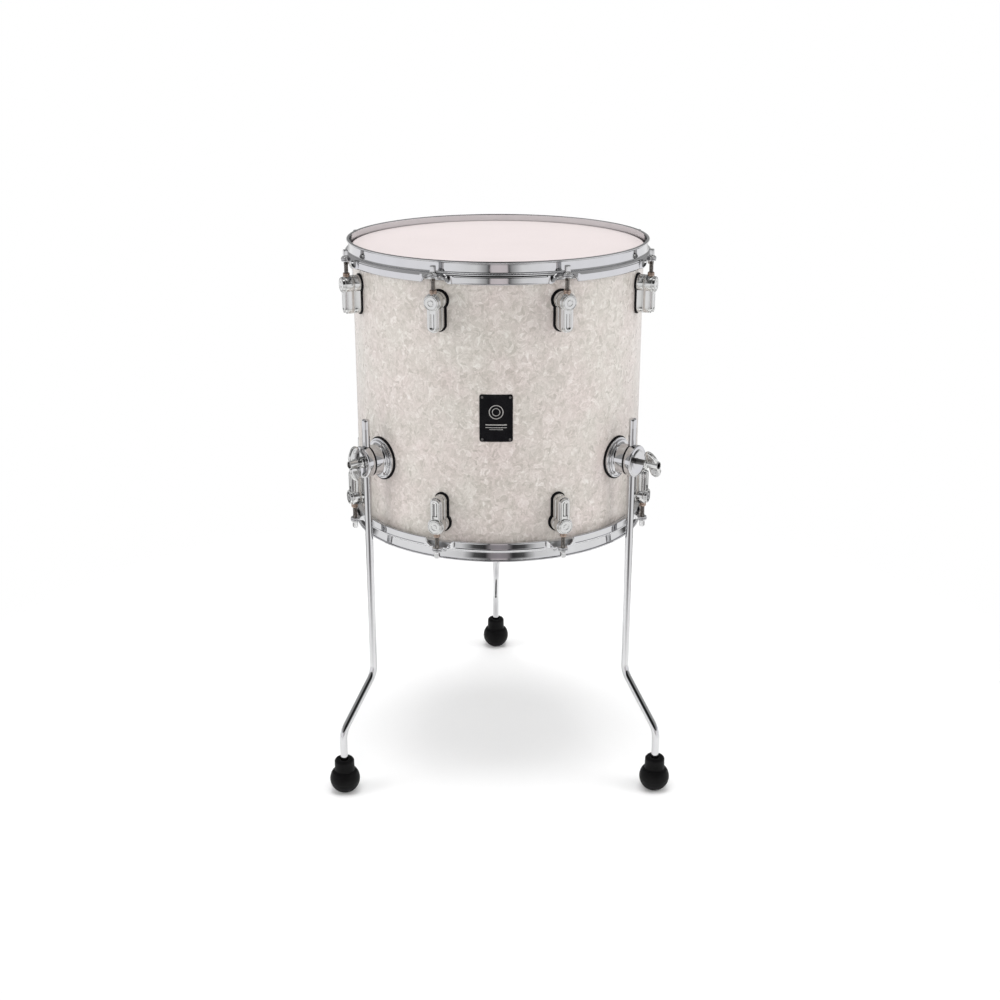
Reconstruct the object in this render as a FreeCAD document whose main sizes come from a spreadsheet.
"""Floor tom drum: a wrapped 16 x 15 inch shell with two heads, standing on three bent legs.

The frame's origin lies on the floor under the drum's own axis. +Z is up, and -Y is the front,
where the badge is. Angles about the axis are counted from the front towards +X. Lengths are in
millimetres and angles in degrees.
"""
import FreeCAD, Part
import math
import os
import re

import Sketcher

Vector = FreeCAD.Vector
Rotation = FreeCAD.Rotation

DIMENSIONS = {
    # Shell, wrap and air vent. Heights are above the floor.
    "shell_radius": 203.2,
    "shell_depth": 387.8,
    "shell_base": 372.2,
    "shell_wall": 7.2,
    "edge_inset": 3.0,
    "wrap_thickness": 0.6,
    "wrap_margin": 3.5,
    "vent_angle": 135.0,
    "vent_radius": 6.2,
    "vent_flange_radius": 9.5,
    "vent_roll_radius": 8.3,
    "vent_sheet": 1.0,
    "vent_play": 0.1,
    "vent_roll_gap": 0.3,
    # Drumheads: the film, and the ring that holds its rim.
    "film_thickness": 0.4,
    "film_bend_radius": 1.5,
    "skirt_gap": 0.9,
    "ring_width": 7.2,
    "ring_round": 1.5,
    "ring_height": 7.4,
    "ring_drop": 8.3,
    # Triple-flanged hoop. Heights are counted from the end of the shell.
    "hoop_rise": 9.6,
    "hoop_collar_radius": 208.9,
    "hoop_lip_radius": 211.3,
    "hoop_apron_radius": 214.6,
    "hoop_sheet": 2.3,
    "hoop_step_drop": 5.8,
    "hoop_bend_radius": 1.5,
    "hoop_apron_drop": 18.3,
    "ear_drop": 8.0,
    "ear_tip_radius": 6.2,
    "ear_tip_round": 6.3,
    "ear_tip_inset": 1.0,
    "ear_base_half": 12.5,
    "ear_flare_radius": 11.0,
    "ear_embed": 0.2,
    "ear_hole_radius": 3.3,
    "arch_half": 20.0,
    "arch_side_radius": 24.0,
    "arch_top_inset": 2.0,
    "cut_margin": 1.0,
    # Lugs. Heights are counted from the middle of the shell.
    "lug_count": 8,
    "lug_disc_height": 151.9,
    "lug_disc_radius": 12.0,
    "lug_tail_half": 8.5,
    "lug_tail_end": 111.7,
    "lug_disc_front": 231.0,
    "lug_tail_front": 228.4,
    "lug_disc_bevel": 2.1,
    "lug_tail_bevel": 2.6,
    "lug_panel_half": 3.6,
    "lug_panel_depth": 1.0,
    "lug_panel_gap": 3.0,
    "lug_screw_height": 119.7,
    "lug_bore_end": 145.0,
    "thread_run_out": 0.5,
    "gasket_thickness": 2.2,
    "gasket_margin": 1.8,
    "layer_drop": 4.0,
    # Tension rods and the threaded inserts that they turn in.
    "rod_circle_radius": 222.8,
    "rod_radius": 2.95,
    "rod_end": 147.0,
    "rod_point": 0.8,
    "rod_flange_radius": 6.2,
    "rod_flange_height": 2.3,
    "rod_flange_bevel": 1.0,
    "key_square": 6.35,
    "key_height": 9.2,
    "key_embed": 0.2,
    "washer_radius": 6.5,
    "washer_height": 1.4,
    "running_gap": 0.1,
    "insert_radius": 4.8,
    "insert_bore": 3.0,
    "insert_seat_gap": 0.05,
    "insert_top": 167.9,
    "insert_length": 19.0,
    # Screws that fasten the lugs and brackets from inside the shell.
    "screw_radius": 2.4,
    "screw_head_radius": 4.4,
    "screw_head_height": 3.2,
    "screw_bite": 9.0,
    "screw_washer_radius": 6.5,
    "screw_washer_height": 1.0,
    "screw_washer_gap": 0.15,
    "screw_hole_gap": 0.3,
    # Badge.
    "badge_angle": -1.47,
    "badge_height": 563.5,
    "badge_half_width": 22.0,
    "badge_half_height": 32.25,
    "badge_corner": 3.0,
    "badge_thickness": 0.8,
    "pin_inset": 3.6,
    "pin_head_radius": 1.7,
    "pin_head_height": 0.7,
    "pin_radius": 0.8,
    "pin_gap": 0.05,
    "pin_length": 5.0,
    # Leg clamps. Distances along a clamp are counted from the drum's axis.
    "clamp_height": 484.0,
    "clamp_front_angle": 52.75,
    "leg_radius": 5.25,
    "leg_circle_radius": 228.5,
    "leg_gap": 0.3,
    "bracket_gasket_radius": 30.2,
    "flange_radius": 28.5,
    "flange_round": 1.4,
    "flange_groove": 0.6,
    "flange_step_round": 1.0,
    "flange_front": 208.0,
    "flange_step_radius": 25.3,
    "flange_step_front": 210.6,
    "neck_radius": 20.6,
    "neck_fillet": 2.0,
    "neck_front": 225.4,
    "bracket_screw_offset": 14.5,
    "liner_seat": 221.3,
    "liner_front": 227.9,
    "liner_radius": 21.6,
    "liner_round": 0.5,
    "liner_gap": 0.05,
    "liner_plug_radius": 18.9,
    "eye_cavity_radius": 10.2,
    "eye_cavity_floor": 220.3,
    "eye_bore": 5.35,
    "eye_radius": 7.4,
    "eye_half_height": 6.0,
    "stud_radius": 4.0,
    "stud_end": 256.0,
    "cap_back": 228.2,
    "cap_radius": 22.2,
    "cap_front": 238.6,
    "cap_floor": 237.4,
    "cap_rim_inner": 17.0,
    "cap_floor_radius": 11.5,
    "cap_edge_round": 1.8,
    "cap_back_round": 0.6,
    # Wing nuts.
    "nut_base": 237.7,
    "nut_end": 257.4,
    "nut_base_radius": 8.0,
    "nut_base_height": 1.2,
    "nut_flare_height": 3.6,
    "nut_flare_radius": 3.5,
    "nut_barrel_radius": 5.7,
    "nut_end_round": 0.7,
    "nut_bore": 4.05,
    "wing_reach": 24.5,
    "wing_inner": 240.0,
    "wing_root": 4.65,
    "wing_shoulder": 9.7,
    "wing_crown": 12.7,
    "wing_round": 10.0,
    "wing_drop": 0.2,
    "wing_thickness": 3.6,
    "dimple_radius": 2.7,
    "dimple_depth": 0.6,
    "dimple_reach": 17.0,
    "nut_turn_left": 4.0,
    "nut_turn_right": 32.0,
    "nut_turn_rear": 70.0,
    "nut_backed_off": 14.6,
    # Legs: a vertical rod, a slanted stretch outwards and a vertical end in a rubber foot.
    "leg_top": 544.0,
    "leg_bend_height": 162.5,
    "leg_slant": 43.7,
    "leg_offset": 66.5,
    "leg_bend_radius": 30.0,
    "leg_end": 14.0,
    "leg_chamfer": 1.2,
    "leg_toe_in": 13.4,
    "foot_ball_radius": 21.5,
    "foot_patch_radius": 10.0,
    "foot_ball_top": 31.0,
    "foot_neck_radius": 14.0,
    "foot_height": 51.0,
    "foot_neck_rise": 1.2,
    "foot_chamfer": 2.4,
    "foot_mouth_radius": 7.4,
    "foot_mouth_depth": 2.2,
    "foot_bore": 5.33,
}

# How close an edge has to be to a plane to count as lying in it.
TOUCH = 0.01

doc = FreeCAD.newDocument("floor_tom")
sub_parts = []


def fill_sheet():
    """Put every driving dimension in the sheet, one row each, with its alias."""
    sheet = doc.addObject("Spreadsheet::Sheet", "dims")
    for row, (name, value) in enumerate(DIMENSIONS.items(), start=1):
        sheet.set(f"A{row}", name)
        sheet.set(f"B{row}", str(value))
        sheet.setAlias(f"B{row}", name)
    doc.recompute()
    return sheet


dims = fill_sheet()


def bound(expression):
    """The expression with each bare word read as a cell of the sheet, but not a function's name."""
    return re.sub(r"\b([a-z_]+)\b(?!\s*\()", r"dims.\1", expression)


def value(expression):
    """The number that an expression of the sheet's words gives."""
    return float(dims.evalExpression(expression))


def start_body(label):
    """An empty body that may hold several solids, listed as a sub-part under its label."""
    body = doc.addObject("PartDesign::Body", label)
    body.Label = label
    body.AllowCompound = True
    sub_parts.append(body)
    return body


def sketch_on(body, plane, offset="0", turn="0"):
    """A sketch on an origin plane, turned about its own vertical and moved along its normal."""
    support = next(item for item in body.Origin.OriginFeatures if item.Role == plane)
    sketch = body.newObject("Sketcher::SketchObject", "Sketch")
    sketch.AttachmentSupport = (support, [""])
    sketch.MapMode = "FlatFace"
    sketch.AttachmentOffset = FreeCAD.Placement(Vector(), Rotation(Vector(0, 1, 0), value(turn)))
    sketch.setExpression("AttachmentOffset.Base.x", bound(f"({offset}) * sin({turn})"))
    sketch.setExpression("AttachmentOffset.Base.z", bound(f"({offset}) * cos({turn})"))
    return sketch


def bind(sketch, kind, place, expression):
    """Add one dimension to a sketch and bind it to the sheet."""
    number = sketch.addConstraint(Sketcher.Constraint(kind, *place, value(expression)))
    sketch.setExpression(f"Constraints[{number}]", bound(expression))


def arc_between(start, end, radius):
    """The shorter arc from start to end, anticlockwise for a positive radius."""
    chord = end - start
    rise = math.sqrt(max(radius * radius - chord.Length ** 2 / 4, 0.0))
    side = Vector(-chord.y, chord.x, 0).normalize() * math.copysign(1, radius)
    centre = (start + end) / 2 + side * rise
    middle = centre - side * abs(radius)
    return Part.Arc(start, middle, end)


def outline(sketch, points, closed=True):
    """Draw lines and arcs through points, each bound to the sheet.

    A point is (x, y), or (x, y, radius) where an arc arrives from the point before it. An arc
    runs anticlockwise for a positive radius and clockwise for a negative one.
    """
    first = sketch.GeometryCount
    spots = [Vector(value(point[0]), value(point[1]), 0) for point in points]
    steps = range(len(points)) if closed else range(1, len(points))
    ends = []
    for number in steps:
        start, end = spots[number - 1], spots[number]
        arc_radius = points[number][2] if len(points[number]) == 3 else None
        if arc_radius is None:
            piece = sketch.addGeometry(Part.LineSegment(start, end))
        else:
            piece = sketch.addGeometry(arc_between(start, end, value(arc_radius)))
            bind(sketch, "Radius", (piece,), f"abs({arc_radius})")
        clockwise = arc_radius is not None and value(arc_radius) < 0
        ends.append((piece, 2, 1) if clockwise else (piece, 1, 2))
        bind(sketch, "DistanceX", (-1, 1, piece, ends[-1][2]), points[number][0])
        bind(sketch, "DistanceY", (-1, 1, piece, ends[-1][2]), points[number][1])
    for number in range(0 if closed else 1, len(ends)):
        before, after = ends[number - 1], ends[number]
        joint = Sketcher.Constraint("Coincident", before[0], before[2], after[0], after[1])
        sketch.addConstraint(joint)
    if not closed:
        bind(sketch, "DistanceX", (-1, 1, first, ends[0][1]), points[0][0])
        bind(sketch, "DistanceY", (-1, 1, first, ends[0][1]), points[0][1])
    return sketch


def circle(sketch, x, y, radius):
    """A circle bound to the sheet."""
    centre = Vector(value(x), value(y), 0)
    piece = sketch.addGeometry(Part.Circle(centre, Vector(0, 0, 1), value(radius)))
    bind(sketch, "DistanceX", (-1, 1, piece, 3), x)
    bind(sketch, "DistanceY", (-1, 1, piece, 3), y)
    bind(sketch, "Radius", (piece,), radius)
    return sketch


def pad(body, profile, length, midplane=False):
    feature = body.newObject("PartDesign::Pad", "Pad")
    feature.Profile = profile
    feature.Midplane = midplane
    feature.setExpression("Length", bound(length))
    return feature


def pocket(body, profile, length, midplane=False, along_normal=False):
    """Cut against the sketch's normal, along it, or evenly to both sides."""
    feature = body.newObject("PartDesign::Pocket", "Pocket")
    feature.Profile = profile
    feature.Midplane = midplane
    feature.Reversed = along_normal
    feature.setExpression("Length", bound(length))
    return feature


def revolve(body, profile):
    feature = body.newObject("PartDesign::Revolution", "Revolution")
    feature.Profile = profile
    feature.ReferenceAxis = (profile, ["V_Axis"])
    feature.Angle = 360
    return feature


def chamfer(body, base, size, belongs):
    """Chamfer the edges of a feature that pass a test on their bounding box."""
    doc.recompute()
    edges = base.Shape.Edges
    chosen = [f"Edge{number + 1}" for number, edge in enumerate(edges) if belongs(edge.BoundBox)]
    feature = body.newObject("PartDesign::Chamfer", "Chamfer")
    feature.Base = (base, chosen)
    feature.setExpression("Size", bound(size))
    return feature


def in_front_of(distance):
    """A test for edges that lie on the front face, the given distance from the drum's axis."""
    return lambda box: box.YMax < -value(distance) + TOUCH


def above(height):
    return lambda box: box.ZMin > value(height) - TOUCH


def below(height):
    return lambda box: box.ZMax < value(height) + TOUCH


def repeat(body, count, features=None):
    """Repeat the body, or only some of its features, evenly about its own Z axis."""
    axis = next(item for item in body.Origin.OriginFeatures if item.Role == "Z_Axis")
    pattern = body.newObject("PartDesign::PolarPattern", "PolarPattern")
    if features:
        pattern.Originals = features
    else:
        pattern.TransformMode = "Whole shape"
    pattern.Axis = (axis, [""])
    pattern.Angle = 360
    pattern.setExpression("Occurrences", bound(str(count)))
    body.Tip = pattern
    return pattern


def turned(angle):
    return Rotation(Vector(0, 0, 1), angle)


def put_at_end(body, angle, lower):
    """Put a body drawn about the shell's middle at the shell's upper or lower end."""
    flip = Rotation(Vector(1, 0, 0), 180) if lower else Rotation()
    body.Placement = FreeCAD.Placement(Vector(0, 0, value(MIDDLE)), flip * turned(angle))


def put_on_clamp(body, angle, spin=0.0, outwards=0.0):
    """Put a body drawn along its own Z axis on the clamp at an angle, pointing outwards."""
    upright = turned(angle) * Rotation(Vector(1, 0, 0), 90)
    seat = Vector(0, 0, value("clamp_height")) + upright.multVec(Vector(0, 0, outwards))
    body.Placement = FreeCAD.Placement(seat, upright * turned(spin))


MIDDLE = "shell_base + shell_depth / 2"
SHELL_END = "shell_depth / 2"
WRAP_RADIUS = "shell_radius + wrap_thickness"
SEAT_RADIUS = "shell_radius + wrap_thickness + gasket_thickness"
SHELL_BORE = "shell_radius - shell_wall"
CLAMP_ANGLES = {
    "left": -value("clamp_front_angle"),
    "right": value("clamp_front_angle"),
    "rear": 180.0,
}


def keep_layer(body, plane, inner, thickness, length):
    """Cut away all but a layer around a cylinder about the drum's axis."""
    waste = sketch_on(body, plane)
    circle(waste, "0", "0", inner)
    circle(waste, "0", "0", f"{inner} + {thickness}")
    circle(waste, "0", "0", f"{inner} + {thickness} + shell_radius")
    return pocket(body, waste, length, midplane=True)


def drill_wall(body):
    """Drill a shell layer for the lug screws, the clamp screws, the vent and the badge pins."""
    lug_holes = sketch_on(body, "XZ_Plane", turn="180 / lug_count")
    for height in ("lug_disc_height", "lug_screw_height"):
        circle(lug_holes, "0", f"{MIDDLE} + {height}", "screw_radius + screw_hole_gap")
        circle(lug_holes, "0", f"{MIDDLE} - {height}", "screw_radius + screw_hole_gap")
    drilled = pocket(body, lug_holes, "hoop_lip_radius", along_normal=True)
    repeat(body, "lug_count", [drilled])
    for angle in ("-clamp_front_angle", "clamp_front_angle", "180"):
        clamp_holes = sketch_on(body, "XZ_Plane", turn=angle)
        for sign in "+-":
            height = f"clamp_height {sign} bracket_screw_offset"
            circle(clamp_holes, "0", height, "screw_radius + screw_hole_gap")
        pocket(body, clamp_holes, "hoop_lip_radius", along_normal=True)
    vent = circle(sketch_on(body, "XZ_Plane", turn="vent_angle"), "0", MIDDLE, "vent_radius")
    pocket(body, vent, "hoop_lip_radius", along_normal=True)
    pins = draw_badge_pins(sketch_on(body, "XZ_Plane", turn="badge_angle"), "pin_radius")
    return pocket(body, pins, "hoop_lip_radius", along_normal=True)


def shell():
    """The plywood cylinder, with a bearing edge at both ends."""
    body = start_body("shell")
    bottom, top = "shell_base", "shell_base + shell_depth"
    inner_bevel = "shell_wall - edge_inset"
    profile = outline(sketch_on(body, "XZ_Plane"), [
        (SHELL_BORE, f"{bottom} + {inner_bevel}"),
        ("shell_radius - edge_inset", bottom),
        ("shell_radius", f"{bottom} + edge_inset"),
        ("shell_radius", f"{top} - edge_inset"),
        ("shell_radius - edge_inset", top),
        (SHELL_BORE, f"{top} - ({inner_bevel})"),
    ])
    revolve(body, profile)
    drill_wall(body)


def shell_wrap():
    """The thin covering around the shell, short of the bearing edges."""
    body = start_body("shell_wrap")
    bottom, top = "shell_base + wrap_margin", "shell_base + shell_depth - wrap_margin"
    profile = outline(sketch_on(body, "XZ_Plane"), [
        ("shell_radius", bottom),
        (WRAP_RADIUS, bottom),
        (WRAP_RADIUS, top),
        ("shell_radius", top),
    ])
    revolve(body, profile)
    drill_wall(body)


def vent_grommet():
    """The eyelet that lines the air hole, flanged outside and rolled over inside."""
    body = start_body("vent_grommet")
    outside, inside = WRAP_RADIUS, f"{SHELL_BORE} - vent_roll_gap"
    tube = "vent_radius - vent_play"
    face = f"{outside} + 1.5 * vent_sheet"
    profile = outline(sketch_on(body, "XZ_Plane"), [
        (f"{tube} - vent_sheet", f"{inside} - vent_sheet"),
        ("vent_roll_radius", f"{inside} - vent_sheet"),
        ("vent_roll_radius", inside),
        (tube, inside),
        (tube, outside),
        ("vent_flange_radius", outside),
        ("vent_flange_radius", f"{outside} + vent_sheet / 2"),
        ("vent_flange_radius - vent_sheet", face, "vent_sheet"),
        (f"{tube} + vent_sheet / 2", face),
        (f"{tube} - vent_sheet", outside, "1.5 * vent_sheet"),
    ])
    revolve(body, profile)
    upright = turned(value("vent_angle")) * Rotation(Vector(1, 0, 0), 90)
    body.Placement = FreeCAD.Placement(Vector(0, 0, value(MIDDLE)), upright)


def head_film(label, lower):
    """A drumhead's film: flat over the bearing edge, then bent down to a short skirt."""
    body = start_body(label)
    skirt = "shell_radius + skirt_gap"
    flat = f"{skirt} - film_bend_radius"
    skirt_end = f"{SHELL_END} - ring_drop - ring_height"
    profile = outline(sketch_on(body, "XZ_Plane"), [
        ("0", SHELL_END),
        (flat, SHELL_END),
        (skirt, f"{SHELL_END} - film_bend_radius", "-film_bend_radius"),
        (skirt, skirt_end),
        (f"{skirt} + film_thickness", skirt_end),
        (f"{skirt} + film_thickness", f"{SHELL_END} - film_bend_radius"),
        (flat, f"{SHELL_END} + film_thickness", "film_bend_radius + film_thickness"),
        ("0", f"{SHELL_END} + film_thickness"),
    ])
    revolve(body, profile)
    put_at_end(body, 0, lower)


def head_ring(label, lower):
    """The aluminium ring that the film's rim is set in; its bottom edge is rounded."""
    body = start_body(label)
    inner = "shell_radius + skirt_gap + film_thickness + running_gap"
    outer = f"{inner} + ring_width"
    top = f"{SHELL_END} - ring_drop"
    bottom = f"{top} - ring_height"
    profile = outline(sketch_on(body, "XZ_Plane"), [
        (inner, bottom),
        (f"{outer} - ring_round", bottom),
        (outer, f"{bottom} + ring_round", "ring_round"),
        (outer, top),
        (inner, top),
    ])
    revolve(body, profile)
    put_at_end(body, 0, lower)


def hoop(label, lower):
    """A triple-flanged hoop: lip, collar, a step onto the head's ring, and an apron with ears."""
    body = start_body(label)
    top = f"{SHELL_END} + hoop_rise"
    step = f"{SHELL_END} - hoop_step_drop"
    apron_end = f"{SHELL_END} - hoop_apron_drop"
    collar_foot = f"{step} + hoop_bend_radius"
    inner_bend = "hoop_bend_radius + hoop_sheet"
    profile = outline(sketch_on(body, "XZ_Plane"), [
        ("hoop_collar_radius - hoop_sheet", f"{top} - hoop_sheet", "hoop_sheet"),
        ("hoop_collar_radius - hoop_sheet", collar_foot),
        ("hoop_collar_radius + hoop_bend_radius", f"{step} - hoop_sheet", inner_bend),
        ("hoop_apron_radius - hoop_sheet", f"{step} - hoop_sheet"),
        ("hoop_apron_radius - hoop_sheet", apron_end),
        ("hoop_apron_radius", apron_end),
        ("hoop_apron_radius", f"{step} - hoop_sheet"),
        ("hoop_apron_radius - hoop_sheet", step, "hoop_sheet"),
        ("hoop_collar_radius + hoop_bend_radius", step),
        ("hoop_collar_radius", collar_foot, "-hoop_bend_radius"),
        ("hoop_collar_radius", f"{top} - hoop_sheet"),
        ("hoop_lip_radius - hoop_sheet / 2", f"{top} - hoop_sheet"),
        ("hoop_lip_radius", f"{top} - hoop_sheet / 2", "hoop_sheet / 2"),
        ("hoop_lip_radius - hoop_sheet / 2", top, "hoop_sheet / 2"),
        ("hoop_collar_radius", top),
    ])
    revolve(body, profile)
    doc.recompute()
    features = [cut_apron_arch(body, apron_end), add_ear(body), drill_ear(body)]
    repeat(body, "lug_count", features)
    put_at_end(body, value("180 / lug_count"), lower)


def cut_apron_arch(body, apron_end):
    """The arch in the apron that leaves room for the tension rod under the ear."""
    arch_top = f"{SHELL_END} - ear_drop - hoop_sheet"
    arch = outline(sketch_on(body, "XZ_Plane", "shell_radius"), [
        ("-arch_half", f"{apron_end} - cut_margin", "arch_side_radius"),
        ("arch_half", f"{apron_end} - cut_margin"),
        ("ear_base_half - arch_top_inset", arch_top, "arch_side_radius"),
        ("arch_top_inset - ear_base_half", arch_top),
    ])
    return pocket(body, arch, "hoop_apron_radius - shell_radius + cut_margin", along_normal=True)


def add_ear(body):
    """One flat ear that flares into the apron at its base."""
    base = "-(hoop_apron_radius - hoop_sheet / 2 - ear_embed)"
    shoulder = "-(rod_circle_radius - ear_tip_inset)"
    tip = "-(rod_circle_radius + ear_tip_radius)"
    ear = outline(sketch_on(body, "XY_Plane", f"{SHELL_END} - ear_drop - hoop_sheet"), [
        ("ear_base_half", base, "-ear_flare_radius"),
        ("-ear_base_half", base),
        ("-ear_tip_radius", shoulder, "-ear_flare_radius"),
        ("0", tip, "ear_tip_round"),
        ("ear_tip_radius", shoulder, "ear_tip_round"),
    ])
    return pad(body, ear, "hoop_sheet")


def drill_ear(body):
    hole = sketch_on(body, "XY_Plane", f"{SHELL_END} - ear_drop + cut_margin")
    circle(hole, "0", "-rod_circle_radius", "ear_hole_radius")
    return pocket(body, hole, "hoop_sheet + 2 * cut_margin")


def keyhole(sketch, margin, sign=""):
    """A lug's outline: a disc with a round-ended tail that points to the shell's middle."""
    disc = f"(lug_disc_radius + {margin})"
    half = f"(lug_tail_half + {margin})"
    neck = f"{sign}(lug_disc_height - sqrt({disc} ^ 2 - {half} ^ 2))"
    tail = f"{sign}(lug_tail_end + lug_tail_half)"
    way = "-" if sign else ""
    outline(sketch, [
        (f"-{half}", neck, f"{way}{disc}"),
        (f"-{half}", tail),
        ("0", f"{sign}(lug_tail_end - {margin})", f"{way}{half}"),
        (half, tail, f"{way}{half}"),
        (half, neck),
        (disc, f"{sign}lug_disc_height", f"{way}{disc}"),
        ("0", f"{sign}(lug_disc_height + {disc})", f"{way}{disc}"),
        (f"-{disc}", f"{sign}lug_disc_height", f"{way}{disc}"),
    ])
    return sketch


def lugs(label, lower):
    """Eight cast lugs: a bevelled disc in front of a lower, bevelled tail with a sunk panel."""
    body = start_body(label)
    start = "shell_radius"
    tail_blank = keyhole(sketch_on(body, "XZ_Plane", start), "0")
    tail = pad(body, tail_blank, f"lug_tail_front - {start}")
    chamfer(body, tail, "lug_tail_bevel", in_front_of("lug_tail_front"))
    disc_blank = sketch_on(body, "XZ_Plane", start)
    circle(disc_blank, "0", "lug_disc_height", "lug_disc_radius")
    disc = pad(body, disc_blank, f"lug_disc_front - {start}")
    chamfer(body, disc, "lug_disc_bevel", in_front_of("lug_disc_front"))
    panel_top = "lug_disc_height - lug_disc_radius - lug_panel_gap"
    round_start = "lug_tail_end + lug_tail_half"
    panel = outline(sketch_on(body, "XZ_Plane", "lug_tail_front - lug_panel_depth"), [
        ("-lug_panel_half", panel_top),
        ("-lug_panel_half", round_start),
        ("0", f"{round_start} - lug_panel_half", "lug_panel_half"),
        ("lug_panel_half", round_start, "lug_panel_half"),
        ("lug_panel_half", panel_top),
    ])
    pocket(body, panel, "lug_panel_depth + cut_margin", along_normal=True)
    seat = circle(sketch_on(body, "XY_Plane"), "0", "0", SEAT_RADIUS)
    pocket(body, seat, "shell_depth", midplane=True)
    bore = sketch_on(body, "XY_Plane", "lug_bore_end")
    circle(bore, "0", "-rod_circle_radius", "insert_radius + insert_seat_gap")
    pocket(body, bore, "lug_disc_radius * 3", along_normal=True)
    threads = sketch_on(body, "XZ_Plane", start)
    circle(threads, "0", "lug_disc_height", "screw_radius")
    circle(threads, "0", "lug_screw_height", "screw_radius")
    deep = f"{SEAT_RADIUS} + screw_bite + thread_run_out - {start}"
    pocket(body, threads, deep, along_normal=True)
    repeat(body, "lug_count")
    put_at_end(body, value("180 / lug_count"), lower)


def lug_gaskets():
    """Sixteen thin gaskets between the lugs and the wrap, each with its two screw holes."""
    body = start_body("lug_gaskets")
    blank = keyhole(sketch_on(body, "XZ_Plane", "shell_radius - layer_drop"), "gasket_margin")
    keyhole(blank, "gasket_margin", "-")
    for height in ("lug_disc_height", "lug_screw_height"):
        circle(blank, "0", height, "screw_radius + screw_hole_gap")
        circle(blank, "0", f"-{height}", "screw_radius + screw_hole_gap")
    pad(body, blank, "2 * layer_drop")
    keep_layer(body, "XY_Plane", WRAP_RADIUS, "gasket_thickness", "shell_depth")
    repeat(body, "lug_count")
    put_at_end(body, value("180 / lug_count"), False)


def lug_nuts():
    """Sixteen threaded brass inserts, standing out of the lugs' ends."""
    body = start_body("lug_nuts")
    for start in ("insert_top - insert_length", "-insert_top"):
        rings = sketch_on(body, "XY_Plane", start)
        circle(rings, "0", "-rod_circle_radius", "insert_radius")
        circle(rings, "0", "-rod_circle_radius", "insert_bore")
        pad(body, rings, "insert_length")
    repeat(body, "lug_count")
    put_at_end(body, value("180 / lug_count"), False)


def tension_rod(label, angle, lower):
    """A tension rod: a round shank under a flange and a square key head."""
    body = start_body(label)
    flange = f"{SHELL_END} - ear_drop + washer_height + running_gap"
    flange_top = f"{flange} + rod_flange_height"
    half = "key_square / 2"
    profile = outline(sketch_on(body, "XZ_Plane"), [
        ("0", "rod_end"),
        ("rod_radius - rod_point", "rod_end"),
        ("rod_radius", "rod_end + rod_point"),
        ("rod_radius", flange),
        ("rod_flange_radius", flange),
        ("rod_flange_radius", f"{flange_top} - rod_flange_bevel"),
        (f"{half} + rod_point", flange_top),
        ("0", flange_top),
    ])
    revolve(body, profile)
    square = outline(sketch_on(body, "XY_Plane", f"{flange_top} - key_embed"), [
        (f"-{half}", f"-{half}"),
        (half, f"-{half}"),
        (half, half),
        (f"-{half}", half),
    ])
    key = pad(body, square, "key_height + key_embed")
    chamfer(body, key, "key_square / 10", above(f"{flange_top} + key_height"))
    put_at_end(body, 0, lower)
    offset = turned(angle).multVec(Vector(0, -value("rod_circle_radius"), 0))
    body.Placement.Base = body.Placement.Base + offset


def tension_rod_washers():
    """Sixteen flat washers between the rods' flanges and the ears."""
    body = start_body("tension_rod_washers")
    for start in (f"{SHELL_END} - ear_drop", f"-({SHELL_END} - ear_drop + washer_height)"):
        rings = sketch_on(body, "XY_Plane", start)
        circle(rings, "0", "-rod_circle_radius", "washer_radius")
        circle(rings, "0", "-rod_circle_radius", "ear_hole_radius")
        pad(body, rings, "washer_height")
    repeat(body, "lug_count")
    put_at_end(body, value("180 / lug_count"), False)


def screw_row(body, heights, turn="0"):
    """Screws from inside the shell: round heads, and shanks through the wall into a casting."""
    head_back = f"{SHELL_BORE} - screw_washer_gap - screw_washer_height - screw_head_height"
    heads = sketch_on(body, "XZ_Plane", head_back, turn)
    shanks = sketch_on(body, "XZ_Plane", head_back, turn)
    for height in heights:
        circle(heads, "0", height, "screw_head_radius")
        circle(shanks, "0", height, "screw_radius")
    return [
        pad(body, heads, "screw_head_height"),
        pad(body, shanks, f"{SEAT_RADIUS} + screw_bite - ({head_back})"),
    ]


LUG_SCREW_HEIGHTS = ["lug_disc_height", "lug_screw_height", "-lug_disc_height", "-lug_screw_height"]
CLAMP_SCREW_HEIGHTS = ["clamp_height + bracket_screw_offset", "clamp_height - bracket_screw_offset"]


def lug_screws():
    """Two screws to each lug."""
    body = start_body("lug_screws")
    screw_row(body, LUG_SCREW_HEIGHTS)
    repeat(body, "lug_count")
    put_at_end(body, value("180 / lug_count"), False)


def bracket_screws():
    """Two screws to each clamp bracket."""
    body = start_body("bracket_screws")
    for angle in ("-clamp_front_angle", "clamp_front_angle", "180"):
        screw_row(body, CLAMP_SCREW_HEIGHTS, angle)


def washer_row(body, heights, turn="0"):
    start = f"{SHELL_BORE} - screw_washer_gap - screw_washer_height"
    rings = sketch_on(body, "XZ_Plane", start, turn)
    for height in heights:
        circle(rings, "0", height, "screw_washer_radius")
        circle(rings, "0", height, "screw_radius + running_gap")
    return pad(body, rings, "screw_washer_height")


def screw_washers():
    """A washer under every screw head, inside the shell."""
    body = start_body("screw_washers")
    heights = [f"{MIDDLE} + {height}" for height in LUG_SCREW_HEIGHTS]
    row = washer_row(body, heights, "180 / lug_count")
    repeat(body, "lug_count", [row])
    for angle in ("-clamp_front_angle", "clamp_front_angle", "180"):
        washer_row(body, CLAMP_SCREW_HEIGHTS, angle)


def draw_badge_pins(sketch, radius):
    """Circles at the badge's four pins."""
    for side in "+-":
        for end in "+-":
            across = f"{side}(badge_half_width - pin_inset)"
            height = f"badge_height {end} (badge_half_height - pin_inset)"
            circle(sketch, across, height, radius)
    return sketch


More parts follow.
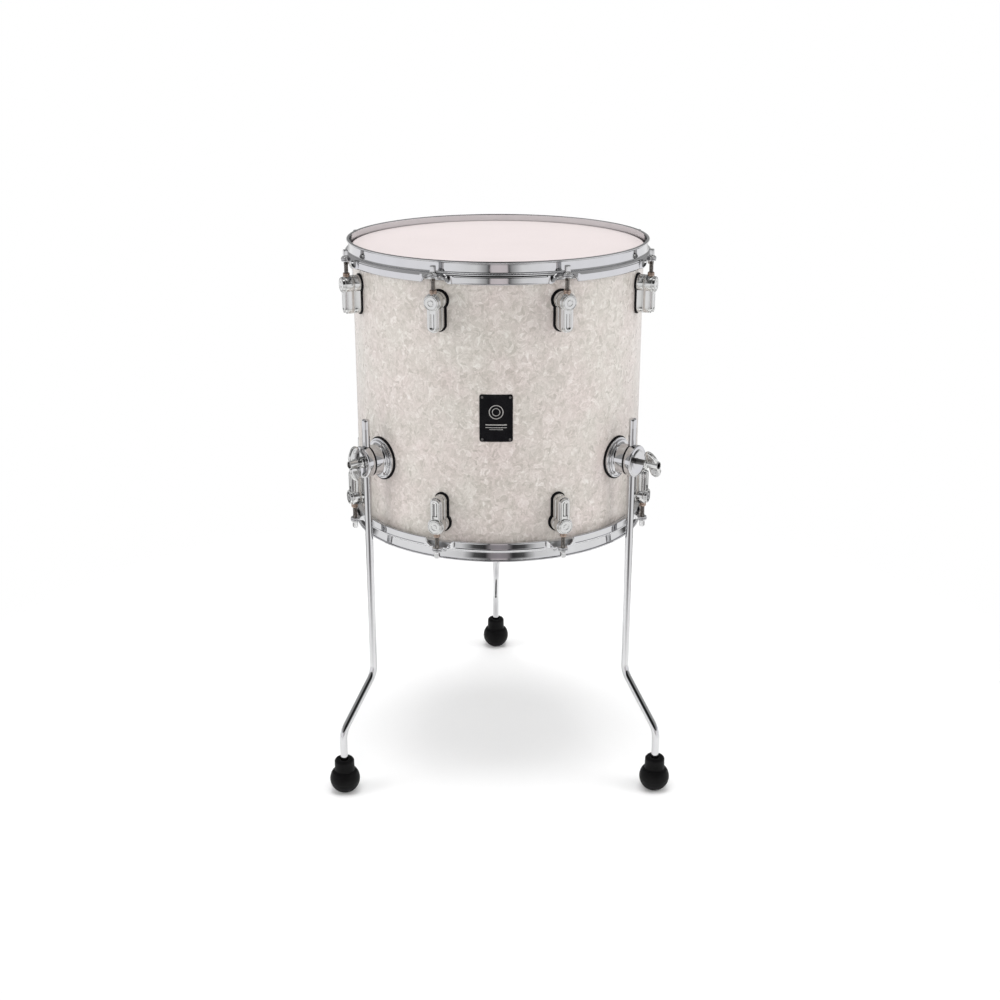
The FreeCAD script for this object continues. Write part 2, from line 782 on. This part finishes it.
def badge_plate():
    """A thin plate with rounded corners, bent to the wrap, with four pin holes."""
    body = start_body("badge_plate")
    blank = sketch_on(body, "XZ_Plane", "shell_radius - layer_drop", "badge_angle")
    low, high = "badge_height - badge_half_height", "badge_height + badge_half_height"
    inner = "(badge_half_width - badge_corner)"
    outline(blank, [
        (f"-{inner}", low, "badge_corner"),
        (inner, low),
        ("badge_half_width", f"{low} + badge_corner", "badge_corner"),
        ("badge_half_width", f"{high} - badge_corner"),
        (inner, high, "badge_corner"),
        (f"-{inner}", high),
        ("-badge_half_width", f"{high} - badge_corner", "badge_corner"),
        ("-badge_half_width", f"{low} + badge_corner"),
    ])
    draw_badge_pins(blank, "pin_radius + pin_gap")
    pad(body, blank, "2 * layer_drop")
    keep_layer(body, "XY_Plane", WRAP_RADIUS, "badge_thickness", "5 * shell_depth")


def badge_pins():
    """Four small pins that hold the badge to the shell."""
    body = start_body("badge_pins")
    seat = f"{WRAP_RADIUS} + badge_thickness"
    heads = sketch_on(body, "XZ_Plane", seat, "badge_angle")
    pad(body, draw_badge_pins(heads, "pin_head_radius"), "pin_head_height")
    shanks = sketch_on(body, "XZ_Plane", f"{seat} - pin_length", "badge_angle")
    pad(body, draw_badge_pins(shanks, "pin_radius - pin_gap"), "pin_length")


def clamp_gasket(side, angle):
    """The gasket between a leg bracket and the wrap."""
    body = start_body(f"bracket_gasket_{side}")
    blank = sketch_on(body, "XY_Plane", "shell_radius - layer_drop")
    circle(blank, "0", "0", "bracket_gasket_radius")
    for sign in ("", "-"):
        circle(blank, "0", f"{sign}bracket_screw_offset", "screw_radius + screw_hole_gap")
    pad(body, blank, "2 * layer_drop")
    keep_layer(body, "XZ_Plane", WRAP_RADIUS, "gasket_thickness", "4 * bracket_gasket_radius")
    put_on_clamp(body, angle)


def cut_leg_channel(body, radius, length):
    """Clear the way of the leg, or of the eye around it, across a clamp part."""
    channel = circle(sketch_on(body, "XZ_Plane"), "0", "leg_circle_radius", radius)
    return pocket(body, channel, length, midplane=True)


def leg_bracket(side, angle):
    """The cast bracket: a stepped round flange on the shell, and a neck behind the leg."""
    body = start_body(f"leg_bracket_{side}")
    back = "shell_radius - layer_drop"
    plug = "liner_plug_radius + running_gap"
    profile = outline(sketch_on(body, "XZ_Plane"), [
        ("0", back),
        ("flange_radius", back),
        ("flange_radius", "flange_front - flange_round"),
        ("flange_radius - flange_round", "flange_front", "flange_round"),
        ("flange_step_radius + flange_groove", "flange_front"),
        ("flange_step_radius + flange_groove / 2", "flange_front - flange_groove"),
        ("flange_step_radius", "flange_front"),
        ("flange_step_radius", "flange_step_front - flange_step_round"),
        ("flange_step_radius - flange_step_round", "flange_step_front", "flange_step_round"),
        ("neck_radius + neck_fillet", "flange_step_front"),
        ("neck_radius", "flange_step_front + neck_fillet", "-neck_fillet"),
        ("neck_radius", "neck_front"),
        (plug, "neck_front"),
        (plug, "liner_seat"),
        ("eye_cavity_radius", "liner_seat"),
        ("eye_cavity_radius", "eye_cavity_floor"),
        ("0", "eye_cavity_floor"),
    ])
    revolve(body, profile)
    seat = circle(sketch_on(body, "XZ_Plane"), "0", "0", SEAT_RADIUS)
    pocket(body, seat, "4 * flange_radius", midplane=True)
    cut_leg_channel(body, "leg_radius + leg_gap", "4 * neck_radius")
    threads = sketch_on(body, "XY_Plane", "shell_radius")
    for sign in ("", "-"):
        circle(threads, "0", f"{sign}bracket_screw_offset", "screw_radius")
    deep = f"{SEAT_RADIUS} + screw_bite + thread_run_out - shell_radius"
    pocket(body, threads, deep, along_normal=True)
    put_on_clamp(body, angle)


def clamp_liner(side, angle):
    """The nylon liner in the neck, with the leg's half channel across it."""
    body = start_body(f"clamp_liner_{side}")
    rim = "neck_front + liner_gap"
    profile = outline(sketch_on(body, "XZ_Plane"), [
        ("eye_cavity_radius", "liner_seat + liner_gap"),
        ("liner_plug_radius", "liner_seat + liner_gap"),
        ("liner_plug_radius", rim),
        ("liner_radius - liner_round", rim),
        ("liner_radius", f"{rim} + liner_round", "liner_round"),
        ("liner_radius", "liner_front - liner_round"),
        ("liner_radius - liner_round", "liner_front", "liner_round"),
        ("eye_cavity_radius", "liner_front"),
    ])
    revolve(body, profile)
    cut_leg_channel(body, "leg_radius + leg_gap", "4 * neck_radius")
    put_on_clamp(body, angle)


def clamp_eyebolt(side, angle):
    """The eyebolt: an eye around the leg, and a stud that points outwards through the cap."""
    body = start_body(f"clamp_eyebolt_{side}")
    eye = circle(sketch_on(body, "XZ_Plane"), "0", "leg_circle_radius", "eye_radius")
    pad(body, eye, "2 * eye_half_height", midplane=True)
    stud = circle(sketch_on(body, "XY_Plane", "leg_circle_radius"), "0", "0", "stud_radius")
    stud = pad(body, stud, "stud_end - leg_circle_radius")
    chamfer(body, stud, "stud_radius / 5", above("stud_end"))
    cut_leg_channel(body, "eye_bore", "4 * eye_half_height")
    put_on_clamp(body, angle)


def clamp_cap(side, angle):
    """The outer half of the clamp: a thick round cap with a shallow dish around the stud."""
    body = start_body(f"clamp_cap_{side}")
    profile = outline(sketch_on(body, "XZ_Plane"), [
        ("stud_radius + leg_gap", "cap_back"),
        ("cap_radius - cap_back_round", "cap_back"),
        ("cap_radius", "cap_back + cap_back_round", "cap_back_round"),
        ("cap_radius", "cap_front - cap_edge_round"),
        ("cap_radius - cap_edge_round", "cap_front", "cap_edge_round"),
        ("cap_rim_inner", "cap_front"),
        ("cap_floor_radius", "cap_floor"),
        ("stud_radius + leg_gap", "cap_floor"),
    ])
    revolve(body, profile)
    cut_leg_channel(body, "leg_radius + leg_gap", "4 * cap_radius")
    cut_leg_channel(body, "eye_radius + leg_gap", "2 * (eye_half_height + leg_gap)")
    put_on_clamp(body, angle)


def wing_nut(side, angle):
    """A wing nut: a flared barrel with two rounded wings, each with a dimple on both faces."""
    body = start_body(f"wing_nut_{side}")
    profile = outline(sketch_on(body, "XZ_Plane"), [
        ("nut_bore", "nut_base"),
        ("nut_base_radius", "nut_base"),
        ("nut_base_radius", "nut_base + nut_base_height"),
        ("nut_barrel_radius", "nut_base + nut_flare_height", "-nut_flare_radius"),
        ("nut_barrel_radius", "nut_end - nut_end_round"),
        ("nut_barrel_radius - nut_end_round", "nut_end", "nut_end_round"),
        ("nut_bore", "nut_end"),
    ])
    revolve(body, profile)
    middle = "(wing_inner + nut_end) / 2"
    wing = outline(sketch_on(body, "YZ_Plane"), [
        ("wing_root", "nut_end - nut_base_height"),
        ("wing_root", "wing_inner + nut_end_round"),
        ("wing_shoulder", "wing_inner"),
        ("wing_reach", middle, "wing_round"),
        ("wing_crown", "nut_end - wing_drop", "wing_round"),
    ])
    features = [pad(body, wing, "wing_thickness", midplane=True)]
    for face in ("wing_thickness / 2", "-wing_thickness / 2"):
        dimple = sketch_on(body, "YZ_Plane", face)
        circle(dimple, "dimple_reach", middle, "dimple_radius")
        features.append(pocket(body, dimple, "2 * dimple_depth", midplane=True))
    repeat(body, "2", features)
    spin = value(f"nut_turn_{side}")
    outwards = value("nut_backed_off") if side == "right" else 0.0
    put_on_clamp(body, angle, spin, outwards)


def leg_heading(side, angle):
    """The direction that a leg's foot is set out in: the front legs toe in towards the front."""
    toe_in = value("leg_toe_in")
    return {"left": angle + toe_in, "right": angle - toe_in, "rear": angle}[side]


def leg_seat(side, angle, reach):
    """The placement of a leg piece that stands the given reach out from the leg's upper rod."""
    heading = leg_heading(side, angle)
    clamp = turned(angle).multVec(Vector(0, -value("leg_circle_radius"), 0))
    foot = turned(heading).multVec(Vector(0, -reach, 0))
    return FreeCAD.Placement(clamp + foot, turned(heading - 90))


def leg_rod(side, angle):
    """A steel leg, bent outwards and then down again, with a chamfered top."""
    body = start_body(f"leg_rod_{side}")
    run = "(leg_bend_radius * tan(leg_slant / 2))"
    across, down = f"{run} * sin(leg_slant)", f"{run} * cos(leg_slant)"
    low_bend = "leg_bend_height - leg_offset / tan(leg_slant)"
    spine = outline(sketch_on(body, "XZ_Plane"), [
        ("0", "leg_top"),
        ("0", f"leg_bend_height + {run}"),
        (across, f"leg_bend_height - {down}", "leg_bend_radius"),
        (f"leg_offset - {across}", f"{low_bend} + {down}"),
        ("leg_offset", f"{low_bend} - {run}", "-leg_bend_radius"),
        ("leg_offset", "leg_end"),
    ], closed=False)
    section = circle(sketch_on(body, "XY_Plane", "leg_top"), "0", "0", "leg_radius")
    pipe = body.newObject("PartDesign::AdditivePipe", "AdditivePipe")
    pipe.Profile = section
    pipe.Spine = spine
    is_top, is_end = above("leg_top"), below("leg_end")
    chamfer(body, pipe, "leg_chamfer", lambda box: is_top(box) or is_end(box))
    body.Placement = leg_seat(side, angle, 0)


def leg_foot(side, angle):
    """A rubber foot: a ball with a flat patch, and a neck that the leg's end turns in."""
    body = start_body(f"leg_foot_{side}")
    ball_height = "sqrt(foot_ball_radius ^ 2 - foot_patch_radius ^ 2)"
    ledge = f"sqrt(foot_ball_radius ^ 2 - (foot_ball_top - {ball_height}) ^ 2)"
    profile = outline(sketch_on(body, "XZ_Plane"), [
        ("0", "0"),
        ("foot_patch_radius", "0"),
        ("foot_ball_radius", ball_height, "foot_ball_radius"),
        (ledge, "foot_ball_top", "foot_ball_radius"),
        ("foot_neck_radius", "foot_ball_top + foot_neck_rise"),
        ("foot_neck_radius", "foot_height - foot_chamfer"),
        ("foot_neck_radius - foot_chamfer", "foot_height"),
        ("foot_mouth_radius", "foot_height"),
        ("foot_bore", "foot_height - foot_mouth_depth"),
        ("foot_bore", "leg_end - leg_gap"),
        ("0", "leg_end - leg_gap"),
    ])
    revolve(body, profile)
    body.Placement = leg_seat(side, angle, value("leg_offset"))


def build_everything():
    shell()
    shell_wrap()
    vent_grommet()
    badge_plate()
    badge_pins()
    for end, lower in (("batter", False), ("resonant", True)):
        head_film(f"{end}_head_film", lower)
        head_ring(f"{end}_head_ring", lower)
        hoop(f"{end}_hoop", lower)
        lugs(f"{end}_lugs", lower)
        pitch = value("360 / lug_count")
        for number in range(int(value("lug_count"))):
            tension_rod(f"{end}_tension_rod_{number + 1}", pitch * (number + 0.5), lower)
    lug_gaskets()
    lug_nuts()
    lug_screws()
    bracket_screws()
    screw_washers()
    tension_rod_washers()
    for side, angle in CLAMP_ANGLES.items():
        for make in (clamp_gasket, leg_bracket, clamp_liner, clamp_eyebolt, clamp_cap, wing_nut):
            make(side, angle)
        leg_rod(side, angle)
        leg_foot(side, angle)


def check_everything():
    """Stop at any object that failed, any cut that removed nothing and any faulty sub-part."""
    for item in doc.Objects:
        if "Invalid" in item.State or "Error" in item.State:
            raise RuntimeError(f"{item.Name} ({item.Label}) failed: {item.State}")
        if item.TypeId == "PartDesign::Pocket":
            if item.Shape.Volume > item.BaseFeature.Shape.Volume - TOUCH:
                raise RuntimeError(f"{item.Name} cut nothing")
    for body in sub_parts:
        if body.Shape.isNull() or not body.Shape.Solids or not body.Shape.isValid():
            raise RuntimeError(f"{body.Label} has no valid solid")


def write_parts():
    os.makedirs("parts", exist_ok=True)
    for body in sub_parts:
        body.Shape.exportStep(f"parts/{body.Label}.step")
        print(f"{body.Label}: {len(body.Shape.Solids)} solids, {body.Shape.Volume / 1000:.2f} cm3")


build_everything()
doc.recompute()
check_everything()
write_parts()
